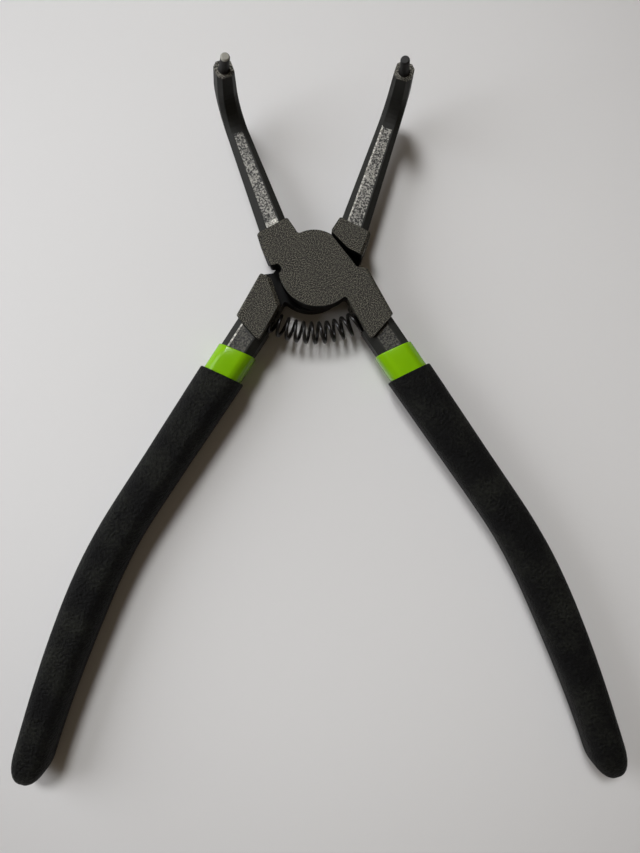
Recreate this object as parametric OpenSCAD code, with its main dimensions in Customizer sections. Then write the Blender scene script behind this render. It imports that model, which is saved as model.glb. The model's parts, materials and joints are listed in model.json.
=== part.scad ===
// Internal circlip pliers with tips bent up. Two crossed levers turn on a riveted lap joint, a bowed
// spring between the handle bosses holds them open, and dipped sleeves and foam grips cover the tangs.
// +X is right, +Y runs to the jaws and +Z is up. The origin is on the pivot axis, at the underside.

/* [Head] */
// Thickness of the head over both laps
head_t = 12; // [11:0.5:14]
// Gap between the two lap faces
lap_gap = 0.1; // [0.05:0.05:0.2]
// Radius of a lap round the pivot, on its jaw side
lap_r = 8.6; // [8.2:0.1:9]
// Running gap between the rim of a lap and the boss beside it
rim_gap = 0.35; // [0.3:0.05:0.6]
// Distance from the pivot to the flat on a lap
lap_flat = 8; // [7.6:0.1:8.2]
// Radius of a lap's heel, its wider side towards the handles
heel_r = 10.3; // [9.8:0.1:10.6]
// Radius of the relief at the root of the jaw boss
relief_r = 1.25; // [0.9:0.05:1.5]
// Fillet in the inner corners of the head, seen from above
head_fillet = 0.8; // [0.4:0.1:1.2]
// Rounding of the outer corners of the head, seen from above
head_round = 0.6; // [0.3:0.1:1]
// Chamfer along the outer edges of the bosses
boss_chamfer = 0.75; // [0.4:0.05:1]
// Bevel on the handle boss beside the other lever's lap
wall_bevel = 1; // [0.5:0.1:1.5]

/* [Jaw boss] */
// Lean of the jaw boss away from the middle, in degrees
jaw_boss_a = 27.5; // [25:0.5:30]
// Distance from the pivot to the end face of the jaw boss
jaw_boss_reach = 13.65; // [13:0.05:15]
// Width of the jaw boss at its end face
jaw_boss_w = 9; // [8.5:0.1:9.6]

/* [Handle boss] */
// Lean of the handle boss away from the middle, in degrees
handle_boss_a = 30.5; // [29:0.5:32]
// Distance from the pivot to the short side of the handle boss's slanted end
handle_boss_reach = 21.7; // [21:0.1:24]
// How much further the long side of the slanted end reaches
handle_boss_slant = 2.7; // [1.5:0.1:3.5]
// Width of the handle boss
handle_boss_w = 8.2; // [7.8:0.1:8.6]

/* [Jaws] */
// Lean of the front jaw's arm away from the middle, in degrees
front_jaw_a = 20; // [17:0.1:22]
// Lean of the rear jaw's arm away from the middle, in degrees
rear_jaw_a = 19.4; // [17:0.1:22]
// Length of the front jaw from its boss to the line of its tip
front_jaw_len = 36.4; // [32:0.2:42]
// Length of the rear jaw from its boss to the line of its tip
rear_jaw_len = 35.8; // [32:0.2:42]
// Width of a jaw arm at its boss
jaw_w = 7.8; // [7:0.1:8]
// Height of a jaw arm at its boss
jaw_h = 8; // [7:0.1:9]
// Width and height of a jaw where its bend starts
bend_w = 5.7; // [5:0.1:6]
// Width and height of a jaw at its tip
tip_w = 4.5; // [4.2:0.1:5]
// Radius of the front jaw's bend, at the middle of the bar
front_bend_r = 9; // [6:0.25:11]
// Radius of the rear jaw's bend, at the middle of the bar
rear_bend_r = 7.75; // [6:0.25:11]
// Height of the tip's end face above the underside
tip_z = 22; // [18:0.5:28]
// Inward lean of the front tip, in degrees
front_tip_lean = 6; // [-2:0.5:8]
// Inward lean of the rear tip, in degrees
rear_tip_lean = 0; // [-2:0.5:8]

/* [Tip pins] */
// Diameter of the tip pins
pin_d = 2.3; // [1.8:0.1:2.6]
// Length of a pin that stands out of its tip
pin_out = 4.8; // [3:0.2:7]
// Depth of a pin's shank in its tip
pin_seat = 6; // [4:0.5:8]
// How much thicker the shank in the tip is than the pin, on each side
pin_step = 0.25; // [0.2:0.05:0.4]
// Height of the cone at the root of a pin
pin_root = 0.45; // [0.4:0.05:0.8]
// Chamfer at the free end of a pin
pin_chamfer = 0.3; // [0.1:0.05:0.5]
// Further inward lean of the front pin, in degrees
front_pin_toe = 7; // [0:1:10]
// Further inward lean of the rear pin, in degrees
rear_pin_toe = 5; // [0:1:10]

/* [Rivet] */
// Diameter of the rivet's shank
rivet_d = 5.2; // [4:0.1:6]
// Diameter of the rivet's flush head
rivet_head_d = 8.8; // [8:0.1:10]
// Thickness of the rivet's head
rivet_head_t = 1.6; // [1.2:0.1:2]
// Metal left over the blind end of the rivet
rivet_skin = 1.6; // [1:0.1:2.5]
// Radial running clearance of the shank in the rear lever
rivet_fit = 0.05; // [0.02:0.01:0.09]

/* [Spring] */
// Outside diameter of the spring
spring_d = 6.2; // [5.6:0.1:6.8]
// Diameter of the spring wire
wire_d = 0.9; // [0.7:0.05:1.1]
// Turns of the spring, with its closed end turns
spring_turns = 13; // [10:1:16]
// Distance from the pivot to the spring seats, along the handle bosses
spring_reach = 17.9; // [17.4:0.1:18.4]
// Depth of the spring seats
seat_depth = 2.2; // [1.6:0.1:3]
// Radial room round the spring in its seats
seat_gap = 0.3; // [0.2:0.05:0.5]

/* [Handles] */
// Lean of the straight upper part of the handles, in degrees
handle_a = 33.8; // [31:0.1:35]
// Length of that straight part, from the middle of the boss
straight_len = 61.7; // [55:0.1:70]
// Bend below it, in degrees
handle_bend = 10.8; // [8:0.1:14]
// Radius of that bend
handle_bend_r = 140; // [100:5:180]
// Length of the slower curve from there to the end of the tang
tail_len = 51.4; // [45:0.1:60]
// Radius of the slower curve
tail_r = 400; // [300:10:600]
// Width of a tang at its collar
tang_w = 8.6; // [8:0.1:9]
// Width of a tang above its bend
waist_w = 7.5; // [7:0.1:8.4]
// Width of a tang below its bend
belly_w = 8.1; // [7.6:0.1:9]
// Width of a tang near its end
tail_w = 6.9; // [6:0.1:7.5]

/* [Grips] */
// Wall of the dipped sleeve
sleeve_t = 0.65; // [0.5:0.05:0.9]
// Wall of the foam grip
grip_t = 0.7; // [0.5:0.05:1]
// Distance from the middle of the boss to the edge of the sleeve
sleeve_start = 12.8; // [11:0.2:15]
// Length of the collar, the part of the sleeve that shows
collar_len = 7.5; // [5:0.5:12]
// Reach of the rounding along the flats of the sleeve
sleeve_round = 0.7; // [0.4:0.1:1.2]
// Reach of the rounding along the flats of the grip
grip_round = 1.5; // [0.8:0.1:1.6]
// Slant of the dipped edges, further along on the outer side, in degrees
dip_slant = 10; // [0:1:15]
// Fit between pieces that are fast on each other
fast_gap = 0.04; // [0.02:0.01:0.08]

/* [Hidden] */
$fn = 64;
steel = [0.27, 0.27, 0.25];
black_steel = [0.08, 0.08, 0.08];
lime = [0.46, 0.7, 0.04];
foam = [0.11, 0.115, 0.105];

mid_z = head_t / 2;
lap_t = (head_t - lap_gap) / 2;
cut_room = 1;

// Laps: the heel is set off from the pivot, and the flat faces the other lever's jaw boss
heel_at = [1, -0.9];
heel_top = -0.4;
flat_a = 37.8;
relief_at = [-heel_r + 0.6, -relief_r - 0.15];

// Jaw boss, in a frame turned by jaw_boss_a with +Y along the boss
jaw_boss_in = 0.6;
jaw_boss_out = jaw_boss_in + jaw_boss_w;
jaw_boss_flare = 0.7;
jaw_boss_root = 7.4;
jaw_boss_foot = 5;
jaw_neck = [-0.1, 9];
wall_a = 18.2;
wall_d = lap_r + rim_gap;
wall_end = -5.9;
jaw_start = turned(jaw_boss_a, [-(jaw_boss_in + jaw_boss_out - boss_chamfer) / 2, jaw_boss_reach]);

// Handle boss, in a frame turned by handle_boss_a with -Y along the boss
handle_boss_in = 2.6;
handle_boss_out = handle_boss_in + handle_boss_w;
shoulder_flare = 0.4;
shoulder_y = -8.3;
flat_end = [lap_flat + 0.9, -6.5];
heel_wall = [[lap_flat - 0.2, -8.8], [handle_boss_in, -13.35]];
handle_start_y = -16.9;
handle_set_in = 0.85;
handle_start = turned(handle_boss_a, [handle_boss_in + handle_boss_w / 2 - handle_set_in, handle_start_y]);

// Jaw arms: straight from the boss, then bent up, with an octagonal section. The values of a jaw are the
// lean of its arm, its length, the radius of its bend, and the leans of its tip and of its pin
front_jaw = [front_jaw_a, front_jaw_len, front_bend_r, front_tip_lean, front_tip_lean + front_pin_toe];
rear_jaw = [rear_jaw_a, rear_jaw_len, rear_bend_r, rear_tip_lean, rear_tip_lean + rear_pin_toe];
jaw_facet = 0.22;
jaw_root_in = 2.5;
bend_steps = 7;

// Handles: a straight run, a bend, and a slower curve to the end
tang_h = head_t - 2 * (sleeve_t + grip_t);
tang_facet = 0.21;
tang_root = 4.3;
bend_len = handle_bend_r * handle_bend * PI / 180;
tail_s = straight_len + bend_len;
tang_len = tail_s + tail_len;
grip_start = sleeve_start + collar_len;
dome_len = 7;
dome_blunt = 0.06;
dome_steps = 5;
station_step = 7;
side_split = 3;
slant_fade = 45;

// Spring: its line is an arc that leaves each seat squarely
seat_at = turned(handle_boss_a, [handle_boss_in, -spring_reach]);
spring_arc_r = seat_at[0] / sin(handle_boss_a);
spring_arc_y = seat_at[1] + spring_arc_r * cos(handle_boss_a);
spring_half = spring_arc_r * handle_boss_a * PI / 180;
spring_len = 2 * (spring_half + seat_depth) - wire_d - 2 * fast_gap;
closed_pitch = wire_d * 1.05;
coil_r = (spring_d - wire_d) / 2;
coil_steps = 16;
wire_sides = 6;

function turned(a, p) = [p[0] * cos(a) - p[1] * sin(a), p[0] * sin(a) + p[1] * cos(a)];
function blend(a, b, t) = a + (b - a) * t;
function eased(a, b, t) = blend(a, b, t * t * (3 - 2 * t));
function unit(v) = v / norm(v);

// Octagon of width w and height h, with corners cut by the given share of the width
function octagon(w, h, cut) = let (c = w * cut, a = w / 2, b = h / 2)
    [[a, b - c], [a - c, b], [c - a, b], [-a, b - c], [-a, c - b], [c - a, -b], [a - c, -b], [a, c - b]];
// Outline with each side split into equal parts
function split_sides(ring, parts) = let (n = len(ring))
    [for (i = [0 : n - 1]) for (k = [0 : parts - 1]) blend(ring[i], ring[(i + 1) % n], k / parts)];
// Outline with each corner rounded, with as many points as one whose sides are split in three
function soft_corners(ring, reach) = let (n = len(ring))
    [for (i = [0 : n - 1])
        let (p = ring[i], before = unit(ring[(i + n - 1) % n] - p), next = ring[(i + 1) % n], after = unit(next - p))
        each [p + reach / 4 * (before + after), p + reach * after, next - reach * after]];

// Triangles of the side wall between rings of n points, and of the flat caps at its ends
function wall_faces(n, rings, first = 0, flip = false) = [for (i = [0 : rings - 2]) for (j = [0 : n - 1])
    let (a = first + i * n + j, b = first + i * n + (j + 1) % n)
    for (f = [[a, b + n, b], [a, a + n, b + n]]) flip ? [f[2], f[1], f[0]] : f];
function cap_face(n, first, flip) = [for (j = [0 : n - 1]) first + (flip ? n - 1 - j : j)];
function cap_fan(n, first, hub, flip) = [for (j = [0 : n - 1]) let (a = first + j, b = first + (j + 1) % n)
    flip ? [hub, b, a] : [hub, a, b]];
function ring_middle(ring) = [for (p = ring) 1 / len(ring)] * ring;

// Solid bar through a list of rings
module loft(rings) {
    n = len(rings[0]);
    count = len(rings);
    polyhedron([for (r = rings) each r],
        concat(wall_faces(n, count), [cap_face(n, 0, false), cap_face(n, n * (count - 1), true)]));
}

// Cup with an outer and an inner wall, open at its first rings
module cup(outer, inner) {
    n = len(outer[0]);
    out_count = len(outer);
    in_first = n * out_count;
    in_count = len(inner);
    hub = in_first + n * in_count;
    rim = [for (j = [0 : n - 1]) let (k = (j + 1) % n)
        each [[j, k, in_first + k], [j, in_first + k, in_first + j]]];
    polyhedron(concat([for (r = outer) each r], [for (r = inner) each r],
            [ring_middle(outer[out_count - 1]), ring_middle(inner[in_count - 1])]),
        concat(wall_faces(n, out_count), wall_faces(n, in_count, in_first, true), rim,
            cap_fan(n, n * (out_count - 1), hub, true),
            cap_fan(n, in_first + n * (in_count - 1), hub + 1, false)));
}

// Square bar that cuts a chamfer of width c along the line from p to q at height z
module edge_cut(p, q, z, c) {
    run = q - p;
    length = norm(run) + 2 * cut_room;
    translate([p[0], p[1], z]) rotate(atan2(run[1], run[0])) rotate([45, 0, 0])
        translate([-cut_room, -c / sqrt(2), -c / sqrt(2)]) cube([length, c * sqrt(2), c * sqrt(2)]);
}

// Turns a part of the front lever into the same part of the rear one
module turn_over() {
    translate([0, 0, head_t]) rotate([0, 180, 0]) children();
}

// Outline with its inner corners filleted and its outer corners rounded
module softened() {
    offset(r = head_round) offset(delta = -head_round) offset(r = -head_fillet) offset(delta = head_fillet)
        children();
}

// Point of the jaw boss's wall beside the other lap, at a place across the boss
function wall_point(across) = [across, (wall_d + sin(wall_a) * across) / cos(wall_a)];

// Jaw boss where it is as thick as the head, with its straight wall beside the other lap
module jaw_boss_outline() {
    softened() rotate(jaw_boss_a) polygon([
        [-jaw_boss_out, jaw_boss_reach],
        [-jaw_boss_in, jaw_boss_reach],
        wall_point(jaw_neck[0]),
        wall_point(wall_end),
        [-jaw_boss_out - jaw_boss_flare, jaw_boss_root]]);
}

// Handle boss where it is as thick as the head
module handle_boss_outline() {
    softened() rotate(handle_boss_a) polygon([
        heel_wall[0],
        [handle_boss_out, heel_wall[0][1] - shoulder_flare],
        [handle_boss_out, -handle_boss_reach],
        [handle_boss_in, -handle_boss_reach - handle_boss_slant],
        heel_wall[1]]);
}

// Round of a lap, with its flat and its wider heel
module lap_round() {
    difference() {
        union() {
            circle(lap_r);
            intersection() {
                translate(heel_at) circle(heel_r);
                translate([-2 * heel_r, heel_top - 4 * heel_r]) square(4 * heel_r);
            }
        }
        rotate(flat_a) translate([lap_flat, -2 * heel_r]) square(4 * heel_r);
    }
}

// Lap with the webs that join it to both bosses, and the relief beside the jaw boss
module lap_outline() {
    difference() {
        softened() {
            lap_round();
            rotate(jaw_boss_a) polygon([
                [-jaw_boss_out, jaw_boss_reach],
                [-jaw_boss_in, jaw_boss_reach],
                jaw_neck,
                [0, 0],
                [-jaw_boss_out - jaw_boss_flare, jaw_boss_foot]]);
            rotate(handle_boss_a) polygon([
                [0, 0],
                turned(flat_a - handle_boss_a, [lap_flat, 0]),
                flat_end,
                [handle_boss_out + shoulder_flare, shoulder_y],
                [handle_boss_out, -handle_boss_reach],
                [handle_boss_in, -handle_boss_reach - handle_boss_slant],
                [handle_boss_in, -heel_r]]);
        }
        translate(relief_at) circle(relief_r);
    }
}

// Head of a lever: both bosses, the lap in the upper half, and the chamfers
module lever_head() {
    jaw_edge = [for (p = [[-jaw_boss_out, jaw_boss_reach], [-jaw_boss_out - jaw_boss_flare, jaw_boss_foot]])
        turned(jaw_boss_a, p)];
    handle_edge = [for (p = [[handle_boss_out + shoulder_flare, shoulder_y],
        [handle_boss_out, -handle_boss_reach]]) turned(handle_boss_a, p)];
    wall_edge = [for (p = heel_wall) turned(handle_boss_a, p)];
    difference() {
        union() {
            translate([0, 0, head_t - lap_t]) linear_extrude(lap_t) lap_outline();
            linear_extrude(head_t) jaw_boss_outline();
            linear_extrude(head_t) handle_boss_outline();
        }
        for (z = [0, head_t]) {
            edge_cut(jaw_edge[0], jaw_edge[1], z, boss_chamfer);
            edge_cut(handle_edge[0], handle_edge[1], z, boss_chamfer);
        }
        edge_cut(wall_edge[0], wall_edge[1], 0, wall_bevel);
        translate([seat_at[0], seat_at[1], mid_z]) rotate(handle_boss_a) rotate([0, 90, 0])
            translate([0, 0, -cut_room]) cylinder(d = spring_d + 2 * seat_gap, h = seat_depth + cut_room);
    }
}

function jaw_dir(jaw) = [-sin(jaw[0]), cos(jaw[0]), 0];
function jaw_side(jaw) = [cos(jaw[0]), sin(jaw[0]), 0];
function jaw_root() = [jaw_start[0], jaw_start[1], mid_z];
function tip_up(jaw, lean) = cos(lean) * [0, 0, 1] + sin(lean) * jaw_side(jaw);
function tip_end(jaw) = jaw_root() + jaw_dir(jaw) * jaw[1]
    + tip_up(jaw, jaw[3]) * (tip_z - mid_z) / cos(jaw[3]);
// Octagon set at a point of the jaw, where t is the angle bent and lean the twist so far
function jaw_ring(jaw, at, t, lean, w, h) =
    let (side = jaw_side(jaw) * cos(lean) - [0, 0, sin(lean)],
        up = tip_up(jaw, lean) * cos(t) - jaw_dir(jaw) * sin(t))
    [for (p = octagon(w, h, jaw_facet)) at - p[0] * side + p[1] * up];

// Arm of a jaw, from inside its boss to the end face of its tip
module jaw_arm(jaw) {
    ahead = jaw_dir(jaw);
    bend = jaw_root() + ahead * (jaw[1] - jaw[2]);
    up = tip_up(jaw, jaw[3]);
    loft(concat(
        [jaw_ring(jaw, jaw_root() - ahead * jaw_root_in, 0, 0, jaw_w, jaw_h)],
        [jaw_ring(jaw, bend, 0, 0, bend_w, bend_w)],
        [for (i = [1 : bend_steps]) let (k = i / bend_steps, t = 90 * k, w = blend(bend_w, tip_w, k / 2))
            jaw_ring(jaw, bend + jaw[2] * (ahead * sin(t) + up * (1 - cos(t))), t, jaw[3] * k, w, w)],
        [jaw_ring(jaw, tip_end(jaw), 90, jaw[3], tip_w, tip_w)]));
}

// Frame of a tip pin: its origin on the tip's end face, +Z along the pin
module at_pin(jaw) {
    translate(tip_end(jaw)) rotate(a = jaw[4], v = jaw_dir(jaw)) children();
}

module pin_bore(jaw) {
    at_pin(jaw) translate([0, 0, -pin_seat])
        cylinder(d = pin_d + 2 * (pin_step + fast_gap), h = pin_seat + cut_room);
}

// Pin with a thicker shank in the tip and a cone at its root
module tip_pin(jaw) {
    shank_d = pin_d + 2 * pin_step;
    at_pin(jaw) {
        translate([0, 0, fast_gap - pin_seat]) cylinder(d = shank_d, h = pin_seat - fast_gap);
        cylinder(d1 = shank_d, d2 = pin_d, h = pin_root);
        translate([0, 0, pin_root]) cylinder(d = pin_d, h = pin_out - pin_chamfer - pin_root);
        translate([0, 0, pin_out - pin_chamfer])
            cylinder(d1 = pin_d, d2 = pin_d - 2 * pin_chamfer, h = pin_chamfer);
    }
}

// Handle: direction, point and width at a distance s along it
function handle_turn(s) = handle_a - (min(max(s - straight_len, 0), bend_len) / handle_bend_r
    + max(s - tail_s, 0) / tail_r) * 180 / PI;
function handle_at(s) = let (a = handle_turn(s), b = handle_turn(min(s, tail_s)))
    handle_start + min(s, straight_len) * [sin(handle_a), -cos(handle_a)]
    + handle_bend_r * [cos(b) - cos(handle_a), sin(b) - sin(handle_a)]
    + tail_r * [cos(a) - cos(b), sin(a) - sin(b)];
function tang_width(s) =
    s < sleeve_start ? tang_w :
    s < straight_len ? eased(tang_w, waist_w, (s - sleeve_start) / (straight_len - sleeve_start)) :
    s < tail_s ? eased(waist_w, belly_w, (s - straight_len) / bend_len) :
    eased(belly_w, tail_w, min((s - tail_s) / tail_len, 1));

// Distances of the rings of a piece that lies a distance over the tang and has a domed end
function stations(start, over) = concat([start],
    [for (s = [station_step : station_step : tang_len - dome_len - station_step / 2])
        if (s > start + station_step / 4) s],
    [for (i = [0 : dome_steps]) tang_len + over - dome_len * (1 - sin(90 * i / dome_steps))]);
function dome(s, over) = let (t = max((s - tang_len - over) / dome_len + 1, 0)) sqrt(1 - (1 - dome_blunt) * t * t);
function slant(s) = tan(dip_slant) * max(0, 1 - (s - sleeve_start) / slant_fade);
function placed(s, ring, shear = 0) = let (at = handle_at(s), a = handle_turn(s))
    [for (p = ring) [at[0] + p[0] * (cos(a) + shear * sin(a)), at[1] + p[0] * (sin(a) - shear * cos(a)),
        mid_z + p[1]]];
function tang_ring(s, over) = let (k = dome(s, over))
    octagon((tang_width(s) + 2 * over) * k, (tang_h + 2 * over) * k, tang_facet);
// Rings of the skins: the inner face of the sleeve, and the soft outer face of a sleeve or grip
function bare_rings(start, over) = [for (s = stations(start, over))
    placed(s, split_sides(tang_ring(s, over), side_split), slant(s))];
function skin_rings(start, over, reach) = [for (s = stations(start, over))
    placed(s, soft_corners(tang_ring(s, over), reach * dome(s, over)), slant(s))];

module tang() {
    loft([for (s = stations(tang_root, 0)) placed(s, tang_ring(s, 0))]);
}

module sleeve() {
    cup(skin_rings(sleeve_start, sleeve_t, sleeve_round), bare_rings(sleeve_start, fast_gap));
}

module grip() {
    cup(skin_rings(grip_start, sleeve_t + grip_t, grip_round),
        skin_rings(grip_start, sleeve_t + fast_gap, sleeve_round));
}

// Spring: point and direction at a distance l from the middle of its line
function spring_at(l) = let (k = min(max(l, -spring_half), spring_half), a = k / spring_arc_r * 180 / PI)
    [spring_arc_r * sin(a) + (l - k) * cos(a), spring_arc_y - spring_arc_r * cos(a) + (l - k) * sin(a), mid_z];
function spring_turn(l) = min(max(l, -spring_half), spring_half) / spring_arc_r * 180 / PI;
function coil_line(t) = -spring_len / 2 + (
    t < 1 ? t * closed_pitch :
    t > spring_turns - 1 ? spring_len - (spring_turns - t) * closed_pitch :
    closed_pitch + (t - 1) * (spring_len - 2 * closed_pitch) / (spring_turns - 2));
function coil_out(t) = let (a = spring_turn(coil_line(t)))
    cos(360 * t) * [-sin(a), cos(a), 0] + sin(360 * t) * [0, 0, 1];
function coil_at(t) = spring_at(coil_line(t)) + coil_r * coil_out(t);
function wire_ring(t) = let (out = coil_out(t), way = coil_at(t + 0.01) - coil_at(t - 0.01),
    side = unit(cross(way, out)), front = unit(cross(side, way)))
    [for (i = [0 : wire_sides - 1]) let (a = 360 * i / wire_sides)
        coil_at(t) + wire_d / 2 * (cos(a) * front + sin(a) * side)];

module front_lever() {
    color(steel) difference() {
        union() {
            lever_head();
            tang();
            jaw_arm(front_jaw);
        }
        pin_bore(front_jaw);
        cylinder(d = rivet_d + 2 * fast_gap, h = head_t - rivet_skin);
    }
}

module rear_lever() {
    color(steel) difference() {
        union() {
            turn_over() {
                lever_head();
                tang();
            }
            mirror([1, 0, 0]) jaw_arm(rear_jaw);
        }
        mirror([1, 0, 0]) pin_bore(rear_jaw);
        translate([0, 0, -cut_room]) cylinder(d = rivet_d + 2 * rivet_fit, h = head_t);
        translate([0, 0, -cut_room])
            cylinder(d = rivet_head_d + 2 * rim_gap, h = rivet_head_t + lap_gap + cut_room);
    }
}

module pivot_rivet() {
    color(black_steel) {
        cylinder(d = rivet_head_d, h = rivet_head_t);
        cylinder(d = rivet_d, h = head_t - rivet_skin - fast_gap);
    }
}

module left_tip_pin() {
    color(black_steel) tip_pin(front_jaw);
}

module right_tip_pin() {
    color(black_steel) mirror([1, 0, 0]) tip_pin(rear_jaw);
}

module return_spring() {
    color(black_steel) loft([for (i = [0 : spring_turns * coil_steps]) wire_ring(i / coil_steps)]);
}

module front_sleeve() {
    color(lime) sleeve();
}

module rear_sleeve() {
    color(lime) mirror([1, 0, 0]) sleeve();
}

module front_grip() {
    color(foam) grip();
}

module rear_grip() {
    color(foam) mirror([1, 0, 0]) grip();
}

front_lever();
rear_lever();
pivot_rivet();
left_tip_pin();
right_tip_pin();
return_spring();
front_sleeve();
rear_sleeve();
front_grip();
rear_grip();
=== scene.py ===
# Internal circlip pliers with tips bent up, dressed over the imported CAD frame.
# Lengths in the dictionaries are millimetres and angles are degrees.
import json
import math

import bmesh
import bpy
from mathutils import Matrix, Vector, noise


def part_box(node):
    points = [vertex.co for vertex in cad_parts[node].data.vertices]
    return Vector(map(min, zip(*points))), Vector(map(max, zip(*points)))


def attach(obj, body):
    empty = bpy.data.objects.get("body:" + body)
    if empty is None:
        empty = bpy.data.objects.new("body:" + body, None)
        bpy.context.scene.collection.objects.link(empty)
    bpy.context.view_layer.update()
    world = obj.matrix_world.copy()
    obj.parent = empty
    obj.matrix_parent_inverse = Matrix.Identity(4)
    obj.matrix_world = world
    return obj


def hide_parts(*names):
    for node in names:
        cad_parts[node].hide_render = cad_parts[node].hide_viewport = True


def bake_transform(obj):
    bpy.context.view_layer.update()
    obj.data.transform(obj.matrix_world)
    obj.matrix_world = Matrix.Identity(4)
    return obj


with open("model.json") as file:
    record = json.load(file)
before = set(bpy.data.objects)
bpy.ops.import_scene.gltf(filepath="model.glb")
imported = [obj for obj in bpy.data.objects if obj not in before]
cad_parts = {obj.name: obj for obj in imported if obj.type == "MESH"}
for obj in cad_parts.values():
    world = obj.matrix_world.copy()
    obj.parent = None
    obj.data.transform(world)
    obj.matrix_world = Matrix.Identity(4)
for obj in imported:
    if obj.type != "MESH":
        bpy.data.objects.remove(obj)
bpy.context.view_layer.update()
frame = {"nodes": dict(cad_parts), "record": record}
mm = 0.001
midZ = 6.0  # the middle plane of the tool, half its thickness above the table
weld = 0.001  # vertices nearer than this are one
print("frame loaded")


def linear(hexColour):
    channels = [int(hexColour[i:i + 2], 16) / 255 for i in (1, 3, 5)]
    return [c / 12.92 if c < 0.04045 else ((c + 0.055) / 1.055) ** 2.4 for c in channels] + [1.0]


def addNode(material, kind, settings={}, sockets={}, links={}):
    node = material.node_tree.nodes.new(kind)
    for name, value in settings.items():
        setattr(node, name, value)
    for name, value in sockets.items():
        node.inputs[name].default_value = value
    for name, source in links.items():
        material.node_tree.links.new(source, node.inputs[name])
    return node


def newMaterial(name, roughness, specular):
    material = bpy.data.materials.new(name)
    material.use_nodes = True
    shader = material.node_tree.nodes["Principled BSDF"]
    shader.inputs["Roughness"].default_value = roughness
    shader.inputs["Specular IOR Level"].default_value = specular
    place = addNode(material, "ShaderNodeTexCoord")
    return material, shader, place.outputs["Object"]


# Phosphate coat on a shot-blasted forging: dark charcoal, with fine straw-coloured grains.
# They are drawn a quarter of a millimetre wide, since finer ones wouldn't show
grainCoat = {"base": "#161512", "pale": "#6b6652", "dark": "#090908", "grain": 0.25, "cloud": 6.0,
             "bump": 0.04, "roughness": 0.7, "specular": 0.18, "worn": "#8b887d"}


def makeGrainCoat():
    s = grainCoat
    material, shader, place = newMaterial("phosphateCoat", s["roughness"], s["specular"])
    grain = addNode(material, "ShaderNodeTexNoise", {}, {"Scale": 1 / (s["grain"] * mm), "Detail": 2.0,
                    "Roughness": 0.6}, {"Vector": place})
    cloud = addNode(material, "ShaderNodeTexNoise", {}, {"Scale": 1 / (s["cloud"] * mm)}, {"Vector": place})
    pale = addNode(material, "ShaderNodeMapRange", {"interpolation_type": "SMOOTHSTEP"},
                   {"From Min": 0.5, "From Max": 0.7}, {"Value": grain.outputs["Fac"]})
    dark = addNode(material, "ShaderNodeMapRange", {"interpolation_type": "SMOOTHSTEP"},
                   {"From Min": 0.45, "From Max": 0.32}, {"Value": grain.outputs["Fac"]})
    cloudy = addNode(material, "ShaderNodeMapRange", {}, {"From Min": 0.3, "From Max": 0.7, "To Min": 0.7,
                     "To Max": 1.0}, {"Value": cloud.outputs["Fac"]})
    paleShare = addNode(material, "ShaderNodeMath", {"operation": "MULTIPLY"}, {},
                        {0: pale.outputs[0], 1: cloudy.outputs[0]})
    speckled = addNode(material, "ShaderNodeMix", {"data_type": "RGBA"},
                       {6: linear(s["base"]), 7: linear(s["pale"])}, {0: paleShare.outputs[0]})
    toned = addNode(material, "ShaderNodeMix", {"data_type": "RGBA"}, {7: linear(s["dark"])},
                    {0: dark.outputs[0], 6: speckled.outputs[2]})
    # coat rubbed thin along the edges, from the wear attribute of the mesh
    wear = addNode(material, "ShaderNodeAttribute", {"attribute_name": "wear"})
    chips = addNode(material, "ShaderNodeMapRange", {}, {"From Min": 0.45, "From Max": 0.62},
                    {"Value": grain.outputs["Fac"]})
    worn = addNode(material, "ShaderNodeMath", {"operation": "MULTIPLY"}, {},
                   {0: wear.outputs["Fac"], 1: chips.outputs[0]})
    colour = addNode(material, "ShaderNodeMix", {"data_type": "RGBA"}, {7: linear(s["worn"])},
                     {0: worn.outputs[0], 6: toned.outputs[2]})
    bump = addNode(material, "ShaderNodeBump", {}, {"Distance": s["bump"] * mm},
                   {"Height": grain.outputs["Fac"]})
    material.node_tree.links.new(colour.outputs[2], shader.inputs["Base Color"])
    material.node_tree.links.new(bump.outputs[0], shader.inputs["Normal"])
    return material


# The same coat over as-forged scale: shiny lumps of half a millimetre whose pale specks are painted glints of
# the lamp; the tangs get a copy with dimmer glints, as painted shade
jawScaleGlints = {"base": "#0e0e0c", "pale": "#a09e95", "lump": 0.48, "bump": 0.22, "roughness": 0.42}
tangScaleShaded = {"base": "#0b0b09", "pale": "#504e45", "lump": 0.42, "bump": 0.22, "roughness": 0.45}
# Painted highlight: a pale strip where the lamp glints, at the root of the left jaw and along the left edges
# of the other lever's facets
glintStrip = {"base": "#77756c", "pale": "#dcdad0", "lump": 0.5, "bump": 0.15, "roughness": 0.4}
scaleSpecular = 0.4


def makeForgedFace(name, s):
    material, shader, place = newMaterial(name, s["roughness"], scaleSpecular)
    lumps = addNode(material, "ShaderNodeTexNoise", {}, {"Scale": 1 / (s["lump"] * mm), "Detail": 3.0,
                    "Roughness": 0.6}, {"Vector": place})
    # the pale share of the lumps is painted glint; on the glint strip the whole mix is a painted highlight
    share = addNode(material, "ShaderNodeMapRange", {"interpolation_type": "SMOOTHSTEP"},
                    {"From Min": 0.4, "From Max": 0.64}, {"Value": lumps.outputs["Fac"]})
    colour = addNode(material, "ShaderNodeMix", {"data_type": "RGBA"},
                     {6: linear(s["base"]), 7: linear(s["pale"])}, {0: share.outputs[0]})
    bump = addNode(material, "ShaderNodeBump", {}, {"Distance": s["bump"] * mm},
                   {"Height": lumps.outputs["Fac"]})
    material.node_tree.links.new(colour.outputs[2], shader.inputs["Base Color"])
    material.node_tree.links.new(bump.outputs[0], shader.inputs["Normal"])
    return material


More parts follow.
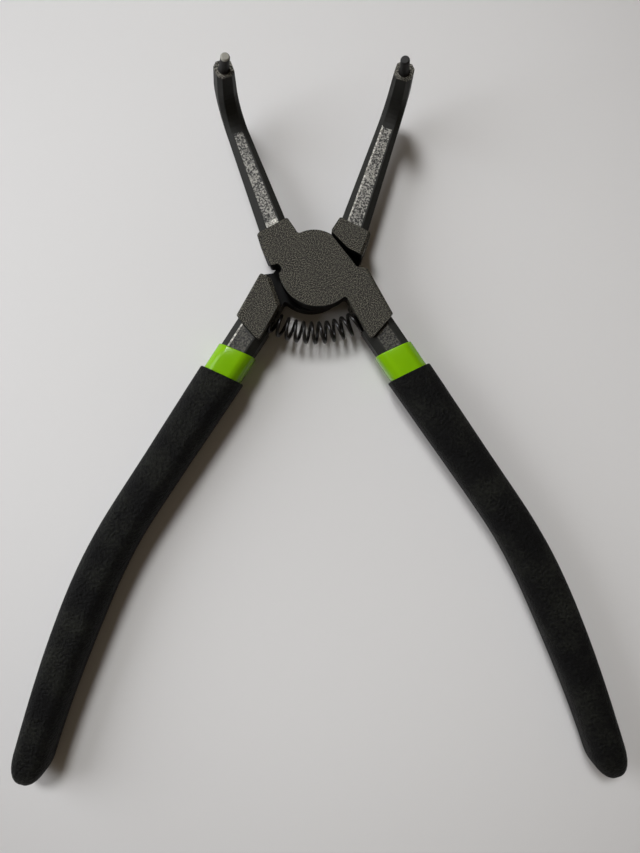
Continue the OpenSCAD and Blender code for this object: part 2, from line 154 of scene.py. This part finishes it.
# Ground chamfers under the coat: smooth dark grey with a satin sheen. Lap walls and the lower lap in the gap:
# the same material, painted near black as shade
groundSide = {"base": "#1d1d1b", "pale": "#2b2b28", "grain": 0.5, "bump": 0.012, "roughness": 0.55,
              "specular": 0.14}
lapWallShade = {"base": "#060605", "pale": "#0f0e0d", "grain": 0.4, "bump": 0.01, "roughness": 0.6,
           "specular": 0.12}


def makeGround(name, s):
    material, shader, place = newMaterial(name, s["roughness"], s["specular"])
    grain = addNode(material, "ShaderNodeTexNoise", {}, {"Scale": 1 / (s["grain"] * mm), "Detail": 3.0},
                    {"Vector": place})
    colour = addNode(material, "ShaderNodeMix", {"data_type": "RGBA"},
                     {6: linear(s["base"]), 7: linear(s["pale"])}, {0: grain.outputs["Fac"]})
    bump = addNode(material, "ShaderNodeBump", {}, {"Distance": s["bump"] * mm},
                   {"Height": grain.outputs["Fac"]})
    material.node_tree.links.new(colour.outputs[2], shader.inputs["Base Color"])
    material.node_tree.links.new(bump.outputs[0], shader.inputs["Normal"])
    return material


# Oil-blackened steel of the spring, pins and rivet: near black, with a clear gloss
oilBlack = {"base": "#0a0908", "pale": "#191715", "patch": 1.6, "specular": 0.36, "wireRoughness": 0.3,
            "leftPinRoughness": 0.55, "rightPinRoughness": 0.6, "worn": "#96948a", "wornDepth": 0.5,
            "wornRagged": 0.5, "wornStart": 0.15, "wornFull": 0.4}


def makeOilBlack(name, roughness, wornFrom=None):
    s = oilBlack
    material, shader, place = newMaterial(name, roughness, s["specular"])
    patch = addNode(material, "ShaderNodeTexNoise", {}, {"Scale": 1 / (s["patch"] * mm), "Detail": 3.0},
                    {"Vector": place})
    colour = addNode(material, "ShaderNodeMix", {"data_type": "RGBA"},
                     {6: linear(s["base"]), 7: linear(s["pale"])}, {0: patch.outputs["Fac"]})
    if wornFrom is not None:  # bare steel above this height, where the end has rubbed bright
        apart = addNode(material, "ShaderNodeSeparateXYZ", {}, {}, {"Vector": place})
        height = addNode(material, "ShaderNodeMath", {"operation": "MULTIPLY_ADD"}, {1: s["wornRagged"] * mm},
                         {0: patch.outputs["Fac"], 2: apart.outputs["Z"]})
        share = addNode(material, "ShaderNodeMapRange", {"interpolation_type": "SMOOTHSTEP"},
                        {"From Min": (wornFrom + s["wornStart"]) * mm,
                         "From Max": (wornFrom + s["wornFull"]) * mm}, {"Value": height.outputs[0]})
        colour = addNode(material, "ShaderNodeMix", {"data_type": "RGBA"}, {7: linear(s["worn"])},
                         {0: share.outputs[0], 6: colour.outputs[2]})
    material.node_tree.links.new(colour.outputs[2], shader.inputs["Base Color"])
    return material


# Dipped vinyl in lime: wet gloss, slightly wavy where the dip ran
limeDip = {"base": "#6da203", "pale": "#7cae06", "wave": 5.0, "bump": 0.02, "roughness": 0.2, "specular": 0.25}


def makeLimeDip():
    s = limeDip
    material, shader, place = newMaterial("limeVinylDip", s["roughness"], s["specular"])
    wave = addNode(material, "ShaderNodeTexNoise", {}, {"Scale": 1 / (s["wave"] * mm), "Detail": 1.0},
                   {"Vector": place})
    colour = addNode(material, "ShaderNodeMix", {"data_type": "RGBA"},
                     {6: linear(s["base"]), 7: linear(s["pale"])}, {0: wave.outputs["Fac"]})
    bump = addNode(material, "ShaderNodeBump", {}, {"Distance": s["bump"] * mm},
                   {"Height": wave.outputs["Fac"]})
    material.node_tree.links.new(colour.outputs[2], shader.inputs["Base Color"])
    material.node_tree.links.new(bump.outputs[0], shader.inputs["Normal"])
    return material


# Foamed vinyl dip: matte black, with the small pimples of burst foam cells
foamDip = {"base": "#010101", "pale": "#1b1c17", "cell": 0.75, "cloud": 9.0, "bump": 0.85, "roughness": 0.68,
           "specular": 0.16}


def makeFoamDip():
    s = foamDip
    material, shader, place = newMaterial("blackFoamedVinyl", s["roughness"], s["specular"])
    cells = addNode(material, "ShaderNodeTexNoise", {}, {"Scale": 1 / (s["cell"] * mm), "Detail": 3.0,
                    "Roughness": 0.6}, {"Vector": place})
    cloud = addNode(material, "ShaderNodeTexNoise", {}, {"Scale": 1 / (s["cloud"] * mm)}, {"Vector": place})
    both = addNode(material, "ShaderNodeMath", {"operation": "MULTIPLY"}, {},
                   {0: cells.outputs["Fac"], 1: cloud.outputs["Fac"]})
    share = addNode(material, "ShaderNodeMapRange", {}, {"From Min": 0.22, "From Max": 0.42},
                    {"Value": both.outputs[0]})
    colour = addNode(material, "ShaderNodeMix", {"data_type": "RGBA"},
                     {6: linear(s["base"]), 7: linear(s["pale"])}, {0: share.outputs[0]})
    bump = addNode(material, "ShaderNodeBump", {}, {"Distance": s["bump"] * mm},
                   {"Height": cells.outputs["Fac"]})
    material.node_tree.links.new(colour.outputs[2], shader.inputs["Base Color"])
    material.node_tree.links.new(bump.outputs[0], shader.inputs["Normal"])
    return material


coat, jawFace, chamfer, lapShade, tangFace, glintFace = range(6)  # places in the list of lever materials
leverMaterials = [makeGrainCoat(), makeForgedFace("forgedScale", jawScaleGlints),
                  makeGround("groundSteelCoated", groundSide), makeGround("lapWallPaintedShade", lapWallShade),
                  makeForgedFace("forgedScaleShaded", tangScaleShaded), makeForgedFace("forgedScaleGlintStrip", glintStrip)]
wireMaterial = makeOilBlack("oilBlackSteel", oilBlack["wireRoughness"])
limeMaterial = makeLimeDip()
foamMaterial = makeFoamDip()
print("materials made")


def finishPiece(bm, name, materials, smoothAngle):
    mesh = bpy.data.meshes.new(name)
    bm.to_mesh(mesh)
    bm.free()
    for material in materials:
        mesh.materials.append(material)
    mesh.polygons.foreach_set("use_smooth", [True] * len(mesh.polygons))
    mesh.set_sharp_from_angle(angle=math.radians(smoothAngle))
    piece = bpy.data.objects.new(name, mesh)
    bpy.context.scene.collection.objects.link(piece)
    return piece


def sweep(bm, face, stations, closed):
    # pulls a face from station to station; closed says that it lies on a finished wall, so it goes too
    for before, after in zip(stations, stations[1:]):
        grown = bmesh.ops.extrude_face_region(bm, geom=[face])["geom"]
        verts = [g for g in grown if isinstance(g, bmesh.types.BMVert)]
        bmesh.ops.transform(bm, matrix=after @ before.inverted(), verts=verts)
        if closed:
            bmesh.ops.delete(bm, geom=[face], context="FACES_ONLY")
        closed = True
        face = [g for g in grown if isinstance(g, bmesh.types.BMFace)][0]
    return face


# Levers: the forged shapes of the CAD with their edges broken, and a finish for each kind of face
# facetLean, facetLevel and wallSteep are parts of a face's normal, and the two wears are shares
lever = {"edge": 0.22, "edgeSegments": 2, "sharp": 24, "flat": 0.5, "smooth": 40, "flatArea": 1.5,
         "jawBossAngle": 27.5, "jawBossReach": 13.65, "jawAngle": 19.7,
         "handleBossAngle": 30.5, "handleBossReach": 21.7, "handleBossSlant": 2.7, "handleBossIn": 2.6,
         "handleBossWidth": 8.2, "handleAngle": 33.8, "tipTop": 22, "lapReach": 13.5, "facetInset": 0.42,
         "past": 0.05, "tipSkin": 0.3, "facetLean": 0.3, "facetLevel": 0.9985, "wallSteep": 0.6, "lapSkin": 1,
         "edgeWear": 0.35, "tipWear": 1.0, "tipEdge": 0.6,
         "rootGlint": 1.9, "rootEnd": 0.1, "tangFoot": Vector((-13.6, -11.6, 0)), "glintFrom": 1.1}


def turned(point, degrees):
    return Matrix.Rotation(math.radians(degrees), 2) @ point


def faceFinish(centre, normal, side):
    # side is 1 for the front lever and -1 for the rear one, whose plan is its mirror image
    at = Vector((centre.x * side, centre.y)) / mm
    across = Vector((normal.x * side, normal.y))
    jaw = turned(at, -lever["jawBossAngle"])
    boss = turned(at, -lever["handleBossAngle"])
    slope = lever["handleBossSlant"] * (lever["handleBossIn"] + lever["handleBossWidth"] - boss.x)
    bossEnd = -lever["handleBossReach"] - slope / lever["handleBossWidth"]
    face = jawFace
    if jaw.y > lever["jawBossReach"] + lever["past"]:
        if centre.z > (lever["tipTop"] - lever["tipSkin"]) * mm:
            return coat
        lean = turned(across, -lever["jawAngle"]).x
    elif boss.y < bossEnd - lever["past"]:
        face = tangFace
        lean = turned(across, -lever["handleAngle"]).x
    else:
        # walls near the pivot and the lower lap seen in the gap get the painted shade of the lap walls
        steep = abs(normal.z) < lever["wallSteep"] or abs(centre.z - midZ * mm) < lever["lapSkin"] * mm
        return lapShade if at.length < lever["lapReach"] and steep else coat
    # only level facets get the scale with its painted glints; the rest get the chamfer finish
    return face if abs(lean) < lever["facetLean"] and abs(normal.z) > lever["facetLevel"] else chamfer


def makeLever(node, body, side):
    bm = bmesh.new()
    bm.from_mesh(frame["nodes"][node].data)
    bmesh.ops.remove_doubles(bm, verts=bm.verts, dist=weld * mm)
    bmesh.ops.dissolve_limit(bm, angle_limit=math.radians(lever["flat"]), verts=bm.verts, edges=bm.edges)
    sharp = [e for e in bm.edges if e.is_manifold and e.calc_face_angle() > math.radians(lever["sharp"])]
    broken = bmesh.ops.bevel(bm, geom=sharp, offset=lever["edge"] * mm, offset_type="OFFSET",
                             segments=lever["edgeSegments"], profile=0.5, affect="EDGES", material=-1,
                             clamp_overlap=True, loop_slide=True)
    wear = bm.verts.layers.float.new("wear")
    for face in broken["faces"]:
        for vert in face.verts:
            atTip = vert.co.z > (lever["tipTop"] - lever["tipEdge"]) * mm
            vert[wear] = lever["tipWear"] if atTip else lever["edgeWear"]
    for face in bm.faces:
        face.material_index = faceFinish(face.calc_center_median(), face.normal, side)
    along = turned(Vector((0, 1)), lever["jawBossAngle"])
    root = lever["jawBossReach"] + lever["rootGlint"]
    if side > 0:  # painted highlight where the fillet at the root of the left jaw glints
        top = [f for f in bm.faces if f.material_index == jawFace and f.normal.z > 0]
        topEdges = list(dict.fromkeys(e for f in top for e in f.edges))
        bmesh.ops.bisect_plane(bm, geom=top + topEdges, dist=weld * mm, plane_co=(along * root * mm).to_3d(),
                               plane_no=along.to_3d())
    rough = [f for f in bm.faces if f.material_index in (jawFace, tangFace)]
    border = bmesh.ops.inset_region(bm, faces=rough, thickness=lever["facetInset"] * mm, use_boundary=True,
                                    use_even_offset=True)
    borders = set(border["faces"])
    for face in borders:
        face.material_index = chamfer
    jawFaces = [f for f in rough if f.material_index == jawFace]
    jawMiddle = max(jawFaces, key=lambda f: f.calc_area()).calc_center_median()
    for face in borders:  # and a painted highlight along the left edge of the other lever's facets
        centre = face.calc_center_median()
        if side > 0 or not midZ * mm < centre.z < lever["tipTop"] / 2 * mm:
            continue
        lean = math.radians(lever["jawAngle"] if centre.y > 0 else lever["handleAngle"])
        foot = jawMiddle if centre.y > 0 else lever["tangFoot"] * mm
        if Vector((-math.cos(lean), math.sin(lean), 0)).dot(centre - foot) > lever["glintFrom"] * mm:
            face.material_index = glintFace
    # the root of the left jaw and the border beside it get the painted highlight
    for face in bm.faces:
        centre = face.calc_center_median()
        onJaw = face.material_index == jawFace
        reach = root if onJaw else lever["jawBossReach"] + lever["facetInset"] + lever["rootEnd"]
        if side > 0 and centre.z > midZ * mm and (face in borders or onJaw):
            if centre.y > 0 and along.dot(centre.xy) < reach * mm:
                face.material_index = glintFace
    piece = finishPiece(bm, node + "Forging", leverMaterials, lever["smooth"])
    for polygon in piece.data.polygons:
        polygon.use_smooth = polygon.area < lever["flatArea"] * mm * mm
    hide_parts(node)
    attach(piece, body)


makeLever("front_lever", "front_half", 1)
makeLever("rear_lever", "rear_half", -1)
print("levers made")

# Handles: the line of the tangs, which the sleeves and grips follow
handle = {"bossAngle": 30.5, "across": 5.85, "down": 16.9, "angle": 33.8, "straight": 61.7, "bend": 10.8,
          "bendRadius": 140, "tail": 51.4, "tailRadius": 400, "tangHeight": 9.3, "facet": 0.21,
          "tangWidth": 8.6, "waistWidth": 7.7, "bellyWidth": 8, "tailWidth": 6.2,
          "slant": 10, "slantFade": 45, "step": 3.5, "dome": 8, "domeBlunt": 0.06, "domeSteps": 8,
          "domeShift": 0.6, "smooth": 60}
bendLength = handle["bendRadius"] * math.radians(handle["bend"])
tailStart = handle["straight"] + bendLength
tangLength = tailStart + handle["tail"]
handleStart = turned(Vector((handle["across"], -handle["down"])), handle["bossAngle"])


def eased(a, b, t):
    return a + (b - a) * t * t * (3 - 2 * t)


def handleTurn(s):
    bent = min(max(s - handle["straight"], 0), bendLength) / handle["bendRadius"]
    return math.radians(handle["angle"]) - bent - max(s - tailStart, 0) / handle["tailRadius"]


def handlePoint(s):
    first, bent, now = math.radians(handle["angle"]), handleTurn(min(s, tailStart)), handleTurn(s)
    ahead, bendRadius, tailRadius = min(s, handle["straight"]), handle["bendRadius"], handle["tailRadius"]
    x = ahead * math.sin(first) + bendRadius * (math.cos(bent) - math.cos(first)) \
        + tailRadius * (math.cos(now) - math.cos(bent))
    y = -ahead * math.cos(first) + bendRadius * (math.sin(bent) - math.sin(first)) \
        + tailRadius * (math.sin(now) - math.sin(bent))
    return handleStart + Vector((x, y))


def tangWidth(s, collar):
    straight = handle["straight"]
    if s < collar:
        return handle["tangWidth"]
    if s < straight:
        return eased(handle["tangWidth"], handle["waistWidth"], (s - collar) / (straight - collar))
    if s < tailStart:
        return eased(handle["waistWidth"], handle["bellyWidth"], (s - straight) / bendLength)
    return eased(handle["bellyWidth"], handle["tailWidth"], min((s - tailStart) / handle["tail"], 1))


def station(s, over, swell, endsAt):
    # places a section of one millimetre, as wide and high as the tang and what lies over it
    turn = handleTurn(s)
    at = handlePoint(s)
    t = max((s - endsAt) / handle["dome"] + 1, 0)
    dome = math.sqrt(max(1 - (1 - handle["domeBlunt"]) * t * t, 0))
    width = (tangWidth(s, sleeve["start"]) + 2 * (over + swell)) * dome
    height = (handle["tangHeight"] + 2 * over) * dome
    slant = math.tan(math.radians(handle["slant"])) * max(0, 1 - (s - sleeve["start"]) / handle["slantFade"])
    out = Vector((math.cos(turn), math.sin(turn), 0))
    along = Vector((math.sin(turn), -math.cos(turn), 0))
    columns = Matrix(((out + along * slant) * width, Vector((0, 0, height)), along)).transposed().to_4x4()
    middle = Vector((at.x, at.y, midZ)) + out * handle["domeShift"] * t * t
    return Matrix.Translation(middle * mm) @ columns


def skinStations(start, over, swell):
    endsAt = tangLength + over
    plain = [start]
    while plain[-1] + handle["step"] < endsAt - handle["dome"] - handle["step"] / 2:
        plain.append(plain[-1] + handle["step"])
    for i in range(handle["domeSteps"] + 1):
        plain.append(endsAt - handle["dome"] * (1 - math.sin(math.radians(90) * i / handle["domeSteps"])))
    return [station(s, over, swell, endsAt) for s in plain]


# Sleeve: the lime dip that shows as a collar. Grip: the black dip over it, which swells at its sides
sleeve = {"start": 12.5, "wall": 0.65, "swell": 0, "round": 0.1, "lip": 0.28, "ripple": 0.02,
          "rippleSize": 6.0}
grip = {"start": 20.0, "wall": 0.7, "swell": 0.2, "round": 0.13, "lip": 0.4, "ripple": 0.07,
        "rippleSize": 5.0}


def makeSkin(name, node, body, side, skin, inside, material):
    bm = bmesh.new()
    bmesh.ops.create_grid(bm, x_segments=1, y_segments=1, size=0.5 * mm)
    bmesh.ops.bevel(bm, geom=bm.verts[:], offset=handle["facet"] * mm, offset_type="OFFSET", segments=1,
                    profile=0.5, affect="VERTICES", material=-1)
    bmesh.ops.bevel(bm, geom=bm.verts[:], offset=skin["round"] * mm, offset_type="OFFSET", segments=4,
                    profile=0.5, affect="VERTICES", material=-1)
    over = inside + skin["wall"]
    outer = skinStations(skin["start"], over, skin["swell"])
    mouth = bm.faces[:][0]
    bmesh.ops.transform(bm, matrix=outer[0], verts=mouth.verts)
    sweep(bm, mouth, outer, False)
    for vert in bm.verts:
        rise = skin["ripple"] * (noise.noise(vert.co / (skin["rippleSize"] * mm)) - 1) / 2
        vert.co += vert.normal * rise * mm
    lip = mouth.edges[:]
    bmesh.ops.inset_region(bm, faces=[mouth], thickness=skin["wall"] * mm, use_even_offset=True)
    sweep(bm, mouth, skinStations(skin["start"], inside, 0), True)
    bmesh.ops.bevel(bm, geom=lip, offset=skin["lip"] * mm, offset_type="OFFSET", segments=3, profile=0.5,
                    affect="EDGES", material=-1)
    if side < 0:
        bmesh.ops.scale(bm, vec=(-1, 1, 1), verts=bm.verts)
        bmesh.ops.reverse_faces(bm, faces=bm.faces)
    piece = finishPiece(bm, name, [material], handle["smooth"])
    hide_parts(node)
    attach(piece, body)


for body, node, side in (("front_half", "front", 1), ("rear_half", "rear", -1)):
    makeSkin(node + "Collar", node + "_sleeve", body, side, sleeve, 0, limeMaterial)
    makeSkin(node + "Foam", node + "_grip", body, side, grip, sleeve["wall"], foamMaterial)
print("handles made")

# Pins: pressed into the tips, on the axes of the record's mounts
pin = {"shank": 1.4, "seat": 5.96, "root": 0.45, "chamfer": 0.3, "chamferIn": 0.32, "round": 0.1,
       "roundIn": 0.08, "sides": 40}
roundSmooth = 35


def makeRound(name, node, body, place, profile, sides, material):
    # profile is a list of (height, radius) from the first end to the last
    stations = [place @ Matrix.Translation((0, 0, z * mm)) @ Matrix.Diagonal((r, r, 1, 1)) for z, r in profile]
    bm = bmesh.new()
    bmesh.ops.create_circle(bm, cap_ends=True, segments=sides, radius=mm)
    start = bm.faces[:][0]
    bmesh.ops.transform(bm, matrix=stations[0], verts=start.verts)
    sweep(bm, start, stations, False)
    bmesh.ops.recalc_face_normals(bm, faces=bm.faces)
    piece = finishPiece(bm, name, [material], roundSmooth)
    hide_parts(node)
    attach(piece, body)


def makePin(side, body, material):
    mount = next(m for m in frame["record"]["mounts"] if m["name"] == side + "_pin")
    half, radius = mount["dims"]["length_mm"] / 2, mount["dims"]["r_mm"]
    face = -half - pin["root"]
    profile = [(face - pin["seat"], pin["shank"]), (face, pin["shank"]), (-half, radius),
               (half - pin["round"], radius), (half + pin["round"], radius - pin["roundIn"]),
               (half + pin["chamfer"], radius - pin["chamferIn"])]
    way = Vector(mount["axis"]).to_track_quat("Z", "Y").to_matrix().to_4x4()
    place = Matrix.Translation(mount["pos_m"]) @ way
    makeRound(side + "Pin", side + "_tip_pin", body, place, profile, pin["sides"], material)


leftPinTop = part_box("left_tip_pin")[1].z / mm
makePin("left", "front_half", makeOilBlack("oilBlackRubbedEnd", oilBlack["leftPinRoughness"],
                                           leftPinTop - oilBlack["wornDepth"]))
makePin("right", "rear_half", makeOilBlack("oilBlackMatte", oilBlack["rightPinRoughness"]))

# Rivet: flush head in its recess on the underside, shank up into the front lever
rivet = {"head": 4.4, "headHigh": 1.6, "edge": 0.25, "shank": 2.6, "top": 10.36, "sides": 64}
makeRound("rivetHead", "pivot_rivet", "front_half", Matrix.Identity(4),
          [(0, rivet["head"] - rivet["edge"]), (rivet["edge"] / 2, rivet["head"] - rivet["edge"] / 4),
           (rivet["edge"], rivet["head"]), (rivet["headHigh"], rivet["head"]),
           (rivet["headHigh"], rivet["shank"]), (rivet["top"], rivet["shank"])], rivet["sides"], wireMaterial)
print("pins and rivet made")

# Spring: round wire wound on an arc that leaves each seat squarely, with closed end turns
spring = {"seatAngle": 30.5, "seatAcross": 2.6, "seatDown": 17.9, "seatDepth": 2.2, "outer": 6.2, "wire": 0.9,
          "turns": 13, "endGap": 0.04, "closed": 1.05, "steps": 24, "wireRound": 3, "lagReach": 16.1,
          "smooth": 50}
seatAt = turned(Vector((spring["seatAcross"], -spring["seatDown"])), spring["seatAngle"])
arcRadius = seatAt.x / math.sin(math.radians(spring["seatAngle"]))
arcMiddle = seatAt.y + arcRadius * math.cos(math.radians(spring["seatAngle"]))
arcHalf = arcRadius * math.radians(spring["seatAngle"])
wireLine = 2 * (arcHalf + spring["seatDepth"] - spring["endGap"]) - spring["wire"]
closedPitch = spring["wire"] * spring["closed"]


def coilPoint(t):
    turns = spring["turns"]
    if t < 1:
        line = t * closedPitch
    elif t > turns - 1:
        line = wireLine - (turns - t) * closedPitch
    else:
        line = closedPitch + (t - 1) * (wireLine - 2 * closedPitch) / (turns - 2)
    line -= wireLine / 2
    onArc = min(max(line, -arcHalf), arcHalf)
    a = onArc / arcRadius
    middle = Vector((arcRadius * math.sin(a) + (line - onArc) * math.cos(a),
                     arcMiddle - arcRadius * math.cos(a) + (line - onArc) * math.sin(a), midZ))
    wound = 2 * math.pi * t
    out = Vector((-math.sin(a), math.cos(a), 0)) * math.cos(wound) + Vector((0, 0, math.sin(wound)))
    return middle + out * (spring["outer"] - spring["wire"]) / 2


def makeSpring():
    curve = bpy.data.curves.new("springWire", "CURVE")
    curve.dimensions = "3D"
    curve.bevel_depth = spring["wire"] / 2 * mm
    curve.bevel_resolution = spring["wireRound"]
    curve.use_fill_caps = True
    line = curve.splines.new("POLY")
    count = spring["turns"] * spring["steps"] + 1
    line.points.add(count - 1)
    for i in range(count):
        line.points[i].co = (*(coilPoint(i / spring["steps"]) * mm), 1)
    holder = bpy.data.objects.new("springLine", curve)
    bm = bmesh.new()
    bm.from_mesh(holder.to_mesh())
    holder.to_mesh_clear()
    bpy.data.objects.remove(holder)
    bmesh.ops.remove_doubles(bm, verts=bm.verts, dist=weld * mm)
    piece = finishPiece(bm, "returnSpring", [wireMaterial], spring["smooth"])
    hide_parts("return_spring")
    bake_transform(piece)


makeSpring()
print("spring made")

# Camera: almost straight over the grips, as the photograph was taken
view = {"x": 0.5, "y": -43.1, "height": 177, "tiltX": 0.31, "tiltY": -0.18, "roll": -0.63, "lens": 27.05}
camera = bpy.data.objects.new("camera", bpy.data.cameras.new("camera"))
camera.data.lens = view["lens"]
camera.data.clip_start = 10 * mm
camera.location = Vector((view["x"], view["y"], view["height"])) * mm
camera.rotation_euler = [math.radians(view[k]) for k in ("tiltX", "tiltY", "roll")]
bpy.context.scene.collection.objects.link(camera)
bpy.context.scene.camera = camera

# Floor and light: a pale sheet under a soft spot beyond the jaws, a window to the left and a warm dim room
studio = {"floorSize": 3000, "floorDrop": 0.1, "floorColour": "#d4d3d1", "floorRoughness": 0.7,
          "floorSpecular": 0.2, "floorSmooth": 30, "glowColour": "#ffe8cc", "glow": 0.11}
spot = {"from": (-0.2, 0.517, 0.832), "aim": (4, -32, 0), "distance": 800, "radius": 200, "cone": 21.6,
        "power": 58.0, "colour": "#fbfcff"}
window = {"from": (-0.85, 0.2, 0.48), "aim": (0, -30, 0), "distance": 600, "size": 420, "power": 2.8,
          "colour": "#f6f9ff"}
bm = bmesh.new()
bmesh.ops.create_grid(bm, x_segments=1, y_segments=1, size=studio["floorSize"] / 2 * mm)
bmesh.ops.translate(bm, vec=(0, 0, -studio["floorDrop"] * mm), verts=bm.verts)
sheet, sheetShader = newMaterial("paleSheet", studio["floorRoughness"], studio["floorSpecular"])[:2]
sheetShader.inputs["Base Color"].default_value = linear(studio["floorColour"])
finishPiece(bm, "floor", [sheet], studio["floorSmooth"])


def hangLamp(name, kind, s):
    lamp = bpy.data.objects.new(name, bpy.data.lights.new(name, kind))
    lamp.data.energy = s["power"]
    lamp.data.color = linear(s["colour"])[:3]
    way = Vector(s["from"]).normalized()
    lamp.location = (Vector(s["aim"]) + way * s["distance"]) * mm
    lamp.rotation_euler = way.to_track_quat("Z", "Y").to_euler()
    bpy.context.scene.collection.objects.link(lamp)
    return lamp.data


overhead = hangLamp("overhead", "SPOT", spot)
overhead.shadow_soft_size = spot["radius"] * mm
overhead.spot_size = math.radians(spot["cone"])
overhead.spot_blend = 1.0
hangLamp("window", "AREA", window).size = window["size"] * mm
world = bpy.data.worlds.new("studio")
world.use_nodes = True
world.node_tree.nodes["Background"].inputs["Color"].default_value = linear(studio["glowColour"])
world.node_tree.nodes["Background"].inputs["Strength"].default_value = studio["glow"]
bpy.context.scene.world = world
bpy.context.scene.view_settings.view_transform = "Standard"
print("studio set")
